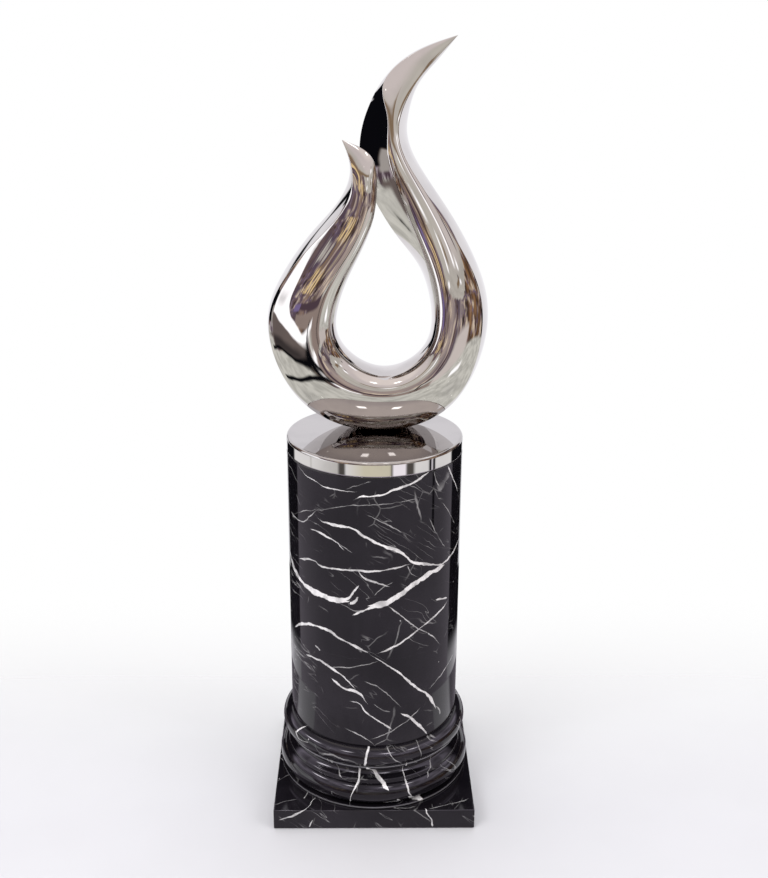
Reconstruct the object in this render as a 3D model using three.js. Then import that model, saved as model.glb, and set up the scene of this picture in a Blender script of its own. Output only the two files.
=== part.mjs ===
// A flame of mirror-polished steel standing on a turned column of black marble.
// Millimetres, +Z up. The origin is the centre of the plinth's underside, and the front faces -Y.
import * as THREE from "three";
import { ParametricGeometry } from "three/addons/geometries/ParametricGeometry.js";

// Column sizes
const SLAB_SIDE = 417;
const SLAB_HEIGHT = 44;
const SLAB_EDGE = 2;
const SHAFT_RADIUS = 178;
const SHAFT_HEIGHT = 593;
const SHAFT_EDGE = 1.5;
const CAP_HEIGHT = 30;
const CAP_EDGE = 6;

// Base moulding, from the slab up: a fillet, a large torus, a fillet, a scotia, a fillet and a small torus
const FOOT_FILLET = { radius: 203, height: 5 };
const LOWER_TORUS = { reach: 205, height: 47 };
const MIDDLE_FILLET = { radius: 187, height: 7 };
const SCOTIA = { topRadius: 183, waist: 172, height: 25 };
const UPPER_FILLET = { radius: 185, height: 6 };
const UPPER_TORUS = { reach: 197.3, height: 44 };
const TORUS_TUCK = THREE.MathUtils.degToRad(75);

// Rounds are divided into this many sides and steps
const TURN_SIDES = 64;
const TORUS_STEPS = 8;
const SCOTIA_STEPS = 6;
const EDGE_STEPS = 3;

// Heights of the joints in the column
const BASE_HEIGHT = [FOOT_FILLET, LOWER_TORUS, MIDDLE_FILLET, SCOTIA, UPPER_FILLET, UPPER_TORUS]
  .reduce((sum, member) => sum + member.height, 0);
const SHAFT_FOOT = SLAB_HEIGHT + BASE_HEIGHT;
const CAP_FOOT = SHAFT_FOOT + SHAFT_HEIGHT;
const FLAME_FOOT = CAP_FOOT + CAP_HEIGHT;

// Ring of the flame: two circles that aren't concentric. Places in the flame are [x, height above the cap].
const RING_OUTER_CENTRE = [2, 212.5];
const RING_INNER_CENTRE = [19, 232];
const RING_INNER_RADIUS = 95;
const RING_DEPTH = 80;
const RING_FRONT = -5;

// A station is a cut across the flame. Outer and inner are its two front edges. Each pair is [outer, inner]:
// spread is how far a wall leans out on its way to the back, belly how far it swells past straight, and rise
// the angle in degrees at which the front face leaves that edge. Front is the y of the front edges. Roll is
// how widely the front rounds over at the inner edge, 1 for a full round.
const station = (outer, inner, spread, belly, rise, depth, front, roll = 1) => {
  return { outer, inner, spread, belly, rise, depth, front, roll };
};

const ringStation = (degrees, reach, spread, belly, rise, roll = 1) => {
  const angle = THREE.MathUtils.degToRad(degrees);
  const along = [Math.cos(angle), Math.sin(angle)];
  const outer = RING_OUTER_CENTRE.map((centre, axis) => centre + reach * along[axis]);
  const inner = RING_INNER_CENTRE.map((centre, axis) => centre + RING_INNER_RADIUS * along[axis]);
  return station(outer, inner, spread, belly, rise, RING_DEPTH, RING_FRONT, roll);
};

// From the tip of the short left tongue, down and round the ring, to the tip of the tall right tongue.
// The right limb leans back as it climbs.
const STATIONS = [
  station([-63, 574], [-63, 574], [0, 0], [0, 0], [10, 12], 0, 6),
  station([-47, 534], [-9, 546], [2, -2], [1, 1], [16, 28], 22, -14),
  station([-44, 496], [2, 498], [8, -3], [2, 2], [34, 68], 44, -25),
  station([-63, 445], [-3, 436], [15, -4], [3, 2], [38, 84], 66, -24),
  station([-113, 389], [-24, 376], [13, -6], [3, 3], [47, 90], 78, -15),
  station([-179, 308], [-55, 310], [5, -8], [3, 3], [58, 90], RING_DEPTH, -8),
  ringStation(180, 210, [4, -10], [3, 3], [60, 90]),
  ringStation(225, 208, [5, -22], [3, 6], [62, 90]),
  ringStation(270, 207, [8, -32], [3, 8], [62, 90], 1.25),
  ringStation(315, 215, [14, -22], [3, 6], [62, 90], 1.1),
  ringStation(360, 208, [19, -1], [3, 2], [60, 86]),
  station([193, 318], [106, 312], [15, 12], [3, 2], [55, 68], RING_DEPTH, 1),
  station([137, 413], [81, 390], [18, 36], [3, 2], [42, 42], 66, 20),
  station([84, 492], [46, 474], [16, 54], [3, 2], [35, 32], 76, 41),
  station([50, 553], [24, 549], [18, 56], [3, 2], [28, 26], 86, 60),
  station([47, 606], [23, 612], [18, 39], [2, 2], [20, 20], 76, 80),
  station([71, 661], [14, 665], [9, 7], [2, 1], [14, 14], 40, 101),
  station([109, 708], [63, 720], [6, 1], [1, 1], [10, 10], 22, 121),
  station([159, 759], [159, 759], [0, 0], [0, 0], [8, 8], 0, 141),
];

// The section is divided into this many steps along its front, each wall and its back
const FLAME_STEPS = 96;
const FRONT_STEPS = 8;
const WALL_STEPS = 3;
const BACK_STEPS = 4;
const SECTION_STEPS = FRONT_STEPS + 2 * WALL_STEPS + BACK_STEPS;
const BACK_SWELL = 0.05;

const STEEL = new THREE.MeshStandardMaterial({ color: 0xc6c0bd, roughness: 0.05, metalness: 1 });
const MARBLE = new THREE.MeshStandardMaterial({ color: 0x232127, roughness: 0.14, metalness: 0 });

// A point on a turned profile
const rim = (radius, height) => new THREE.Vector2(radius, height);

// A solid turned about the Z axis from a profile that runs upwards, closed on the axis at both ends
function turned(profile) {
  const closed = [rim(0, profile[0].y), ...profile, rim(0, profile.at(-1).y)];
  return new THREE.LatheGeometry(closed, TURN_SIDES).rotateX(Math.PI / 2);
}

// The half-round swell of a torus, standing on a height, with its ends tucked in
function torusArc({ reach, height }, foot) {
  const tube = height / (2 * Math.sin(TORUS_TUCK));
  const arc = [];
  for (let step = 0; step <= TORUS_STEPS; step += 1) {
    const angle = TORUS_TUCK * ((2 * step) / TORUS_STEPS - 1);
    arc.push(rim(reach - tube + tube * Math.cos(angle), foot + height / 2 + tube * Math.sin(angle)));
  }
  return arc;
}

// The hollow of a scotia, above the edge of the radius that it starts from
function scotiaArc({ topRadius, waist, height }, bottomRadius, foot) {
  const hollow = (bottomRadius + topRadius) / 2 - waist;
  const arc = [];
  for (let step = 1; step <= SCOTIA_STEPS; step += 1) {
    const along = step / SCOTIA_STEPS;
    const straight = THREE.MathUtils.lerp(bottomRadius, topRadius, along);
    arc.push(rim(straight - hollow * Math.sin(Math.PI * along), foot + height * along));
  }
  return arc;
}

// The straight edge of a fillet
function fillet({ radius, height }, foot) {
  return [rim(radius, foot), rim(radius, foot + height)];
}

// A quarter round from a straight side in to a flat top, or from a flat bottom out to a straight side
function edgeRound(radius, level, edge, isTop) {
  const arc = [];
  for (let step = 0; step <= EDGE_STEPS; step += 1) {
    const angle = (Math.PI / 2) * (isTop ? step / EDGE_STEPS : 1 - step / EDGE_STEPS);
    const drop = edge * (1 - Math.sin(angle));
    arc.push(rim(radius - edge * (1 - Math.cos(angle)), isTop ? level - drop : level + drop));
  }
  return arc;
}

function plinthSlab() {
  const half = SLAB_SIDE / 2 - SLAB_EDGE;
  const outline = new THREE.Shape();
  outline.moveTo(-half, -half);
  outline.lineTo(half, -half);
  outline.lineTo(half, half);
  outline.lineTo(-half, half);
  outline.closePath();
  const slab = new THREE.ExtrudeGeometry(outline, {
    depth: SLAB_HEIGHT - 2 * SLAB_EDGE,
    bevelThickness: SLAB_EDGE,
    bevelSize: SLAB_EDGE,
    bevelSegments: 2,
  });
  return slab.translate(0, 0, SLAB_EDGE);
}

function baseMoulding() {
  const profile = [];
  let level = SLAB_HEIGHT;
  const stack = (member, points) => {
    profile.push(...points);
    level += member.height;
  };
  stack(FOOT_FILLET, fillet(FOOT_FILLET, level));
  stack(LOWER_TORUS, torusArc(LOWER_TORUS, level));
  stack(MIDDLE_FILLET, fillet(MIDDLE_FILLET, level));
  stack(SCOTIA, scotiaArc(SCOTIA, MIDDLE_FILLET.radius, level));
  stack(UPPER_FILLET, fillet(UPPER_FILLET, level));
  stack(UPPER_TORUS, torusArc(UPPER_TORUS, level));
  return turned(profile);
}

function columnShaft() {
  const foot = edgeRound(SHAFT_RADIUS, SHAFT_FOOT, SHAFT_EDGE, false);
  const head = edgeRound(SHAFT_RADIUS, CAP_FOOT, SHAFT_EDGE, true);
  return turned([...foot, ...head]);
}

function capDisc() {
  const foot = edgeRound(SHAFT_RADIUS, CAP_FOOT, SHAFT_EDGE, false);
  const head = edgeRound(SHAFT_RADIUS, FLAME_FOOT, CAP_EDGE, true);
  return turned([...foot, ...head]);
}

// A smooth curve through values at rising knots: cubic between them, with no bend at the two ends
function smoothThrough(knots, values) {
  const last = knots.length - 1;
  const share = new Array(last + 1).fill(0);
  const bend = new Array(last + 1).fill(0);
  for (let i = 1; i < last; i += 1) {
    const before = knots[i] - knots[i - 1];
    const after = knots[i + 1] - knots[i];
    const turn = (values[i + 1] - values[i]) / after - (values[i] - values[i - 1]) / before;
    const pivot = 2 * (before + after) - before * share[i - 1];
    share[i] = after / pivot;
    bend[i] = (6 * turn - before * bend[i - 1]) / pivot;
  }
  for (let i = last - 1; i > 0; i -= 1) {
    bend[i] -= share[i] * bend[i + 1];
  }
  return (at) => {
    const next = Math.max(1, knots.findIndex((knot) => knot >= at));
    const span = knots[next] - knots[next - 1];
    const b = (at - knots[next - 1]) / span;
    const a = 1 - b;
    const curve = (a ** 3 - a) * bend[next - 1] + (b ** 3 - b) * bend[next];
    return a * values[next - 1] + b * values[next] + (curve * span ** 2) / 6;
  };
}

// How far along the flame each station lies, from 0 to 1, measured between the middles of the sections
function stationKnots() {
  const knots = [0];
  const middle = ({ outer, inner }) => rim((outer[0] + inner[0]) / 2, (outer[1] + inner[1]) / 2);
  for (let i = 1; i < STATIONS.length; i += 1) {
    knots.push(knots[i - 1] + middle(STATIONS[i]).distanceTo(middle(STATIONS[i - 1])));
  }
  return knots.map((knot) => knot / knots.at(-1));
}

// Smooth curves for every measure of a station, which give the measures of a cut at any place along the flame
function stationCurves() {
  const knots = stationKnots();
  const single = (name) => smoothThrough(knots, STATIONS.map((cut) => cut[name]));
  const pair = (name) => {
    const curves = [0, 1].map((axis) => smoothThrough(knots, STATIONS.map((cut) => cut[name][axis])));
    return (at) => curves.map((curve) => curve(at));
  };
  return {
    outer: pair("outer"),
    inner: pair("inner"),
    spread: pair("spread"),
    belly: pair("belly"),
    rise: pair("rise"),
    depth: single("depth"),
    front: single("front"),
    roll: single("roll"),
  };
}

// The front face is a cubic curve that leaves each edge at its rise; returned as [across, forward] in widths
function frontFace(share, { rise, roll }) {
  const [outer, inner] = rise.map(THREE.MathUtils.degToRad);
  const handle = (angle) => 1 / (3 * Math.cos(angle / 2) ** 2);
  const nearInner = 3 * share * (1 - share) ** 2 * roll * handle(inner);
  const nearOuter = 3 * share ** 2 * (1 - share);
  const across =
    nearInner * Math.cos(inner) +
    nearOuter * (1 - handle(outer) * Math.cos(outer)) +
    share ** 3;
  const forward = nearInner * Math.sin(inner) + nearOuter * handle(outer) * Math.sin(outer);
  return [across, forward];
}

// A bow that is 0 at both ends and 1 in the middle
const bow = (share) => 4 * share * (1 - share);

// One point of a cut, as [distance from the inner front edge towards the outer one, y].
// Step counts round the cut: along the front to the outer edge, back, along the back, and forward again.
function sectionPoint(cut, width, step) {
  const [outerSpread, innerSpread] = cut.spread;
  const [outerBelly, innerBelly] = cut.belly;
  if (step < FRONT_STEPS) {
    const [across, forward] = frontFace(step / FRONT_STEPS, cut);
    return [width * across, cut.front - width * forward];
  }
  if (step < FRONT_STEPS + WALL_STEPS) {
    const share = (step - FRONT_STEPS) / WALL_STEPS;
    return [width + outerSpread * share + outerBelly * bow(share), cut.front + cut.depth * share];
  }
  if (step < FRONT_STEPS + WALL_STEPS + BACK_STEPS) {
    const share = (step - FRONT_STEPS - WALL_STEPS) / BACK_STEPS;
    const backWidth = width + outerSpread + innerSpread;
    const swell = BACK_SWELL * backWidth * bow(share);
    return [width + outerSpread - backWidth * share, cut.front + cut.depth + swell];
  }
  const share = (SECTION_STEPS - step) / WALL_STEPS;
  return [-innerSpread * share - innerBelly * bow(share), cut.front + cut.depth * share];
}

// The flame: every cut in turn, with its underside pressed flat where it stands on the cap
function flame() {
  const curves = stationCurves();
  const surface = (along, around, target) => {
    const cut = Object.fromEntries(Object.entries(curves).map(([name, curve]) => [name, curve(along)]));
    const inner = rim(...cut.inner);
    const chord = rim(...cut.outer).sub(inner);
    const [across, y] = sectionPoint(cut, chord.length(), (1 - around) * SECTION_STEPS);
    const place = inner.addScaledVector(chord.normalize(), across);
    target.set(place.x, y, FLAME_FOOT + Math.max(0, place.y));
  };
  return new ParametricGeometry(surface, FLAME_STEPS, SECTION_STEPS);
}

function piece(name, geometry, material) {
  const mesh = new THREE.Mesh(geometry, material);
  mesh.name = name;
  return mesh;
}

const sculpture = new THREE.Group();
sculpture.add(
  piece("plinth_slab", plinthSlab(), MARBLE),
  piece("base_moulding", baseMoulding(), MARBLE),
  piece("column_shaft", columnShaft(), MARBLE),
  piece("cap_disc", capDisc(), STEEL),
  piece("flame", flame(), STEEL),
);

export default sculpture;
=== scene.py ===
"""Looks of a mirror-polished steel flame on a black marble column, built in the part's own frame."""

import logging
import math
from dataclasses import dataclass
from enum import Enum
from typing import Any, Optional, Sequence, Union

import bmesh
import bpy
from mathutils import Matrix, Vector


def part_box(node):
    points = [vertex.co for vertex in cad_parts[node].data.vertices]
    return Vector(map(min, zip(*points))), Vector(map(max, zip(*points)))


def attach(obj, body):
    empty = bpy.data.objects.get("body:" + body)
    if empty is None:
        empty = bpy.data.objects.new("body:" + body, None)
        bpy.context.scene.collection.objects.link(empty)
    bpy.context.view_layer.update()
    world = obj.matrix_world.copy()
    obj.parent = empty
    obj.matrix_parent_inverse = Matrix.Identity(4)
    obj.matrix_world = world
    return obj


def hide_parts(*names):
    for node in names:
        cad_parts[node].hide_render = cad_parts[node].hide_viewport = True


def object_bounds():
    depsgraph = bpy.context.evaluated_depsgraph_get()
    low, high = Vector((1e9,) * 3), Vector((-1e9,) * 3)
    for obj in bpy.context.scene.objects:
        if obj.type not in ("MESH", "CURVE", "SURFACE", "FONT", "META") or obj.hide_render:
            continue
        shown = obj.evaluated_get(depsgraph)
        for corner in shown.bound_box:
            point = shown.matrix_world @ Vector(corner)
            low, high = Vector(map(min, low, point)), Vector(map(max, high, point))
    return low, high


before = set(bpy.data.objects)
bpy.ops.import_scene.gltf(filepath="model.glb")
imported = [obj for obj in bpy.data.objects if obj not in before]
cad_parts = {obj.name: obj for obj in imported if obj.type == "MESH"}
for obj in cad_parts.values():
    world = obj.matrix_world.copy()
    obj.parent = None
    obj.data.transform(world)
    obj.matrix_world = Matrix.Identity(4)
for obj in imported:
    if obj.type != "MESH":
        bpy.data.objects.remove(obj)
cad_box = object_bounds()

log = logging.getLogger("flame_on_column")

MM = 0.001
BODY = "root"
MERGE_DISTANCE = 0.002 * MM
SHARP_ANGLE = math.radians(35)
TURN_STEPS = 192
# Millimetres beyond a piece's ends in which its edges are still found.
EDGE_MARGIN = 1.0

Pair = tuple[float, float]
Colour = tuple[float, float, float]
Place = tuple[float, float, float]
Operand = Union["Value", float]
SocketKey = Union[str, int]


class Slot(Enum):
    """The record's material slots."""

    STEEL = "polished_steel"
    MARBLE = "black_marble"


class Value:
    """A socket of a node tree, on which Python arithmetic adds Math nodes."""

    def __init__(self, kit: "NodeKit", socket: bpy.types.NodeSocket) -> None:
        self.kit = kit
        self.socket = socket

    def __add__(self, other: Operand) -> "Value":
        """This value plus another."""
        return self.kit.maths("ADD", self, other)

    def __radd__(self, other: Operand) -> "Value":
        """Another value plus this one."""
        return self.kit.maths("ADD", other, self)

    def __sub__(self, other: Operand) -> "Value":
        """This value less another."""
        return self.kit.maths("SUBTRACT", self, other)

    def __rsub__(self, other: Operand) -> "Value":
        """Another value less this one."""
        return self.kit.maths("SUBTRACT", other, self)

    def __mul__(self, other: Operand) -> "Value":
        """This value times another."""
        return self.kit.maths("MULTIPLY", self, other)

    def __rmul__(self, other: Operand) -> "Value":
        """Another value times this one."""
        return self.kit.maths("MULTIPLY", other, self)

    def __truediv__(self, other: Operand) -> "Value":
        """This value divided by another."""
        return self.kit.maths("DIVIDE", self, other)

    def __neg__(self) -> "Value":
        """This value with its sign turned."""
        return self.kit.maths("MULTIPLY", self, -1.0)

    def __abs__(self) -> "Value":
        """This value without its sign."""
        return self.kit.maths("ABSOLUTE", self)

    def at_least(self, other: Operand) -> "Value":
        """The larger of this value and another."""
        return self.kit.maths("MAXIMUM", self, other)


class NodeKit:
    """Adds and links the nodes of one material or world."""

    def __init__(self, tree: bpy.types.NodeTree) -> None:
        """Start from an empty tree."""
        self.tree = tree
        tree.nodes.clear()

    def node(
        self,
        kind: str,
        settings: Optional[dict[str, Any]] = None,
        sockets: Optional[dict[SocketKey, Any]] = None,
        output: SocketKey = 0,
    ) -> Optional[Value]:
        """Add a node with its settings first and its sockets after them.

        Args:
            kind: The node's type name, without the leading ShaderNode.
            settings: The node's own settings; stops fill a ramp, and course a float curve.
            sockets: A value or a plain number, colour or vector for each input, by name or number.
            output: The output that is handed back.

        Returns:
            That output, or None where the node has no output.
        """
        made = self.tree.nodes.new("ShaderNode" + kind)
        for name, setting in (settings or {}).items():
            if name == "stops":
                self._fill_ramp(made.color_ramp, setting)
            elif name == "course":
                self._fill_curve(made.mapping, setting)
            else:
                setattr(made, name, setting)
        for key, value in (sockets or {}).items():
            if isinstance(value, Value):
                self.tree.links.new(value.socket, made.inputs[key])
            else:
                made.inputs[key].default_value = value
        return Value(self, made.outputs[output]) if len(made.outputs) else None

    @staticmethod
    def _fill_ramp(ramp: bpy.types.ColorRamp, stops: Sequence[tuple[float, Colour]]) -> None:
        """Give a colour ramp its stops.

        Args:
            ramp: The ramp of a new node.
            stops: Places from 0 to 1 in rising order, each with its colour.
        """
        while len(ramp.elements) < len(stops):
            ramp.elements.new(1.0)
        for element, (place, colour) in zip(ramp.elements, stops):
            element.position = place
            element.color = (*colour, 1.0)

    @staticmethod
    def _fill_curve(mapping: bpy.types.CurveMapping, course: Sequence[Pair]) -> None:
        """Give a float curve its points.

        Args:
            mapping: The mapping of a new node.
            course: Points in rising order. The curve runs on level beyond the first and the last.
        """
        mapping.use_clip = False
        mapping.extend = "HORIZONTAL"
        points = mapping.curves[0].points
        points[0].location = course[0]
        points[1].location = course[-1]
        for place in course[1:-1]:
            points.new(*place)
        for point in points:
            point.handle_type = "AUTO_CLAMPED"
        mapping.update()

    def maths(self, operation: str, *operands: Operand) -> Value:
        """One Math node on values or numbers."""
        return self.node("Math", {"operation": operation}, dict(enumerate(operands)))

    def rise(self, value: Value, low: Operand, high: Operand, start: float = 0.0, end: float = 1.0) -> Value:
        """A smooth change from start to end as a value goes from low to high.

        Args:
            value: The value that drives the change.
            low: Where the change starts.
            high: Where it ends.
            start: The result below low.
            end: The result above high.

        Returns:
            The eased result.
        """
        sockets = {"Value": value, "From Min": low, "From Max": high, "To Min": start, "To Max": end}
        return self.node("MapRange", {"interpolation_type": "SMOOTHSTEP"}, sockets)

    def curve(self, value: Value, course: Sequence[Pair]) -> Value:
        """The height of a smooth course through points, at a value along it."""
        return self.node("FloatCurve", {"course": course}, {"Value": value})

    def band(self, value: Value, low: float, high: float, soft: float) -> Value:
        """A mask that is 1 between low and high, with soft edges of that half-width."""
        return self.rise(value, low - soft, low + soft) * self.rise(value, high - soft, high + soft, 1.0, 0.0)

    def mix(self, share: Operand, first: Any, second: Any) -> Value:
        """A colour between two, from the first at 0 to the second at 1.

        Args:
            share: How much of the second colour shows.
            first: A colour or a value.
            second: A colour or a value.

        Returns:
            The mixed colour.
        """
        colours = [(*c, 1.0) if isinstance(c, tuple) else c for c in (first, second)]
        return self.node("Mix", {"data_type": "RGBA"}, {0: share, 6: colours[0], 7: colours[1]}, output=2)

    def vector(self, operation: str, *operands: Any) -> Value:
        """One Vector Math node on vectors."""
        return self.node("VectorMath", {"operation": operation}, dict(enumerate(operands)))

    def length(self, vector: Value) -> Value:
        """The length of a vector."""
        return self.node("VectorMath", {"operation": "LENGTH"}, {0: vector}, "Value")

    def plane(self, across: Value, up: Value) -> Value:
        """A place on a plane, as a vector."""
        return self.node("CombineXYZ", sockets={0: across, 1: up, 2: 0.0})

    def turn(self, x: Value, y: Value) -> Value:
        """The angle round the upright axis, from the front towards the right, in radians."""
        return self.maths("ARCTAN2", x, -y)

    def split(self, vector: Value) -> tuple[Value, Value, Value]:
        """The three parts of a vector."""
        first = self.node("SeparateXYZ", sockets={0: vector})
        outputs = first.socket.node.outputs
        return first, Value(self, outputs[1]), Value(self, outputs[2])

    def noise(self, place: Value, scale: float, detail: float = 2.0, output: str = "Fac") -> Value:
        """Smooth noise at a place, as a number around 0.5 or as a colour."""
        sockets = {"Vector": place, "Scale": scale, "Detail": detail}
        return self.node("TexNoise", sockets=sockets, output=output)

    def cells(self, place: Value, scale: float, output: str = "Distance", feature: str = "F1") -> Value:
        """A pattern of cells at a place: the distance to a cell's middle or edge, or its colour."""
        return self.node("TexVoronoi", {"feature": feature}, {"Vector": place, "Scale": scale}, output)

    def dress(self, sockets: dict[SocketKey, Any]) -> None:
        """End a material with one Principled shader."""
        self.node("OutputMaterial", sockets={"Surface": self.node("BsdfPrincipled", sockets=sockets)})


def new_material(name: str) -> tuple[bpy.types.Material, NodeKit]:
    """Start a node material.

    Args:
        name: The material's name.
    """
    material = bpy.data.materials.new(name)
    material.use_nodes = True
    return material, NodeKit(material.node_tree)


@dataclass(frozen=True)
class MirrorSteel:
    """Stainless steel polished to a mirror, with faint smears and a hand-worked ripple."""

    name: str
    bright: Colour = (0.665, 0.640, 0.625)
    shade: Colour = (0.600, 0.575, 0.570)
    polish: float = 0.018
    smear: float = 0.045
    ripple: float = 0.55
    ripple_scale: float = 9.0
    tool_mark: float = 0.05
    tool_scale: float = 42.0
    smear_scale: float = 17.0
    smear_range: Pair = (0.42, 0.72)

    def material(self) -> bpy.types.Material:
        """Build the finish.

        Returns:
            The finished material.
        """
        material, kit = new_material(self.name)
        place = kit.node("TexCoord", output="Object")
        smears = kit.rise(kit.noise(place, self.smear_scale, detail=5.0), *self.smear_range)
        ripples = kit.noise(place, self.ripple_scale, detail=1.0) * self.ripple
        marks = kit.noise(place, self.tool_scale, detail=1.0) * self.tool_mark
        normal = kit.node("Bump", sockets={"Height": ripples + marks, "Distance": MM, "Strength": 1.0})
        sockets = {
            "Base Color": kit.mix(smears, self.bright, self.shade),
            "Metallic": 1.0,
            "Roughness": self.polish + smears * (self.smear - self.polish),
            "Normal": normal,
        }
        kit.dress(sockets)
        return material


class Chart(Enum):
    """How a marble piece is unrolled, so that its veins can be drawn on it."""

    ROUND = "round the upright axis"
    FLAT = "over the front edge of a slab"


@dataclass(frozen=True)
class Vein:
    """A white vein: its course over the unrolled piece, its width in millimetres and its whiteness.

    On a round piece a course is in degrees from the front and millimetres of height, and on a flat one
    in millimetres across and millimetres up the front and on over the top.
    """

    course: tuple[Pair, ...]
    width: float = 2.4
    white: float = 0.55


@dataclass(frozen=True)
class HairWeb:
    """A web of hair veins: its fineness, the core and edge of its lines, their whiteness and their cover."""

    scale: float
    core: float
    edge: float
    white: float
    cover: float


@dataclass(frozen=True)
class BlackMarble:
    """Polished black marble with drawn white veins and a faint web of finer ones.

    A scale is in patterns to the metre, and a range is the noise between which an effect grows.
    """

    name: str
    chart: Chart
    reach: float
    veins: tuple[Vein, ...]
    shift: float = 0.0
    ground: Colour = (0.0042, 0.0036, 0.0052)
    cloud: Colour = (0.0120, 0.0105, 0.0140)
    cloud_scale: float = 7.0
    cloud_range: Pair = (0.40, 0.75)
    polish: float = 0.055
    haze: float = 0.03
    haze_scale: float = 23.0
    ior: float = 1.5
    # Painted highlights: pale bands all round the piece, each a middle height and half-width in millimetres,
    # standing for the light a fillet's edge catches.
    rim_highlights: tuple[Pair, ...] = ()
    rim_highlight_colour: Colour = (0.20, 0.20, 0.22)
    rim_highlight_soft: float = 0.5
    vein_colour: Colour = (0.86, 0.86, 0.88)
    vein_polish: float = 0.16
    wander: float = 7.0
    wander_scale: float = 55.0
    swell: Pair = (0.45, 1.45)
    swell_scale: float = 31.0
    swell_range: Pair = (0.28, 0.72)
    fade: Pair = (0.55, 1.0)
    fade_scale: float = 47.0
    fade_range: Pair = (0.30, 0.62)
    end_taper: float = 0.16
    soft: float = 0.9
    swirl: float = 0.04
    swirl_scale: float = 9.0
    webs: tuple[HairWeb, ...] = (
        HairWeb(6.0, 0.003, 0.010, 0.30, 0.55),
        HairWeb(15.0, 0.006, 0.022, 0.14, 0.57),
    )
    web_cover_scale: float = 1.3
    web_fade: float = 0.14
    thread_tilt: Place = (0.0, math.radians(36), 0.3)
    thread_stretch: Place = (1.0, 1.0, 0.13)
    thread_scale: float = 6.5
    thread_edge: Pair = (0.002, 0.010)
    thread_white: float = 0.24
    thread_cover_scale: float = 11.0
    thread_cover: Pair = (0.52, 0.66)
    speck_scale: float = 38.0
    speck_edge: Pair = (0.03, 0.075)
    speck_white: float = 0.5
    speck_choice: Pair = (0.86, 0.90)

    def material(self) -> bpy.types.Material:
        """Build the finish.

        Returns:
            The finished material.
        """
        material, kit = new_material(self.name)
        place = kit.node("TexCoord", output="Object")
        moved = kit.vector("ADD", place, (self.shift, self.shift, self.shift))
        white = self._drawn_veins(kit, place, moved).at_least(self._web(kit, moved))
        clouds = kit.rise(kit.noise(moved, self.cloud_scale, detail=6.0), *self.cloud_range)
        ground = kit.mix(clouds, self.ground, self.cloud)
        # Painted highlight: lay a pale band round the piece at each given height.
        for middle, half in self.rim_highlights:
            level = kit.split(place)[2] * (1 / MM)
            rim = kit.band(level, middle - half, middle + half, self.rim_highlight_soft)
            ground = kit.mix(rim, ground, self.rim_highlight_colour)
        haze = kit.noise(moved, self.haze_scale, detail=3.0) * self.haze
        sockets = {
            "Base Color": kit.mix(white, ground, self.vein_colour),
            "Roughness": self.polish + haze + white * self.vein_polish,
            "IOR": self.ior,
        }
        kit.dress(sockets)
        return material

    def _unrolled(self, kit: NodeKit, place: Value, moved: Value) -> tuple[Value, Value]:
        """Where a point lies on the unrolled piece, with the small wander that real veins have.

        Args:
            kit: The material's nodes.
            place: The point on the piece.
            moved: The point in the marble's own grain.

        Returns:
            Millimetres across and millimetres up.
        """
        x, y, z = kit.split(place)
        if self.chart is Chart.ROUND:
            across = kit.turn(x, y) * self.reach
            height = z * (1 / MM)
        else:
            across = x * (1 / MM)
            height = (z + y) * (1 / MM) + self.reach
        sway, lift, _ = kit.split(kit.noise(moved, self.wander_scale, detail=3.0, output="Color"))
        return across + (sway - 0.5) * self.wander, height + (lift - 0.5) * self.wander

    def _drawn_veins(self, kit: NodeKit, place: Value, moved: Value) -> Value:
        """The veins of the list, each along its own course.

        Args:
            kit: The material's nodes.
            place: The point on the piece.
            moved: The point in the marble's own grain.

        Returns:
            How white the point is, from 0 to 1.
        """
        across, height = self._unrolled(kit, place, moved)
        swell = kit.rise(kit.noise(moved, self.swell_scale, detail=4.0), *self.swell_range, *self.swell)
        fade = kit.rise(kit.noise(moved, self.fade_scale, detail=3.0), *self.fade_range, *self.fade)
        white = None
        for vein in self.veins:
            drawn = self._one_vein(kit, vein, across, height, swell)
            white = drawn if white is None else white.at_least(drawn)
        return white * fade

    def _one_vein(self, kit: NodeKit, vein: Vein, across: Value, height: Value, swell: Value) -> Value:
        """One vein, as a line of changing width that follows its course and tapers at both ends.

        Args:
            kit: The material's nodes.
            vein: The vein.
            across: Millimetres across the unrolled piece.
            height: Millimetres up it.
            swell: The noise that changes the width along the way.

        Returns:
            How white the vein makes the point.
        """
        turn = math.radians(self.reach) if self.chart is Chart.ROUND else 1.0
        course = [(place * turn, level) for place, level in vein.course]
        along, off = across, height
        if abs(course[-1][0] - course[0][0]) < abs(course[-1][1] - course[0][1]):
            course = [(level, place) for place, level in course]
            along, off = height, across
        course.sort()
        start, end = course[0][0], course[-1][0]
        steep = math.hypot(end - start, course[-1][1] - course[0][1]) / (end - start)
        half = vein.width / 2 * steep
        tip = self.end_taper * (end - start)
        widths = ((start, 0.0), (start + tip, half), (end - tip, half), (end, 0.0))
        inside = kit.curve(along, widths) * swell - abs(off - kit.curve(along, course))
        edge = {"Value": inside, "From Max": self.soft * steep, "To Max": vein.white}
        return kit.node("MapRange", sockets=edge)

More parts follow.
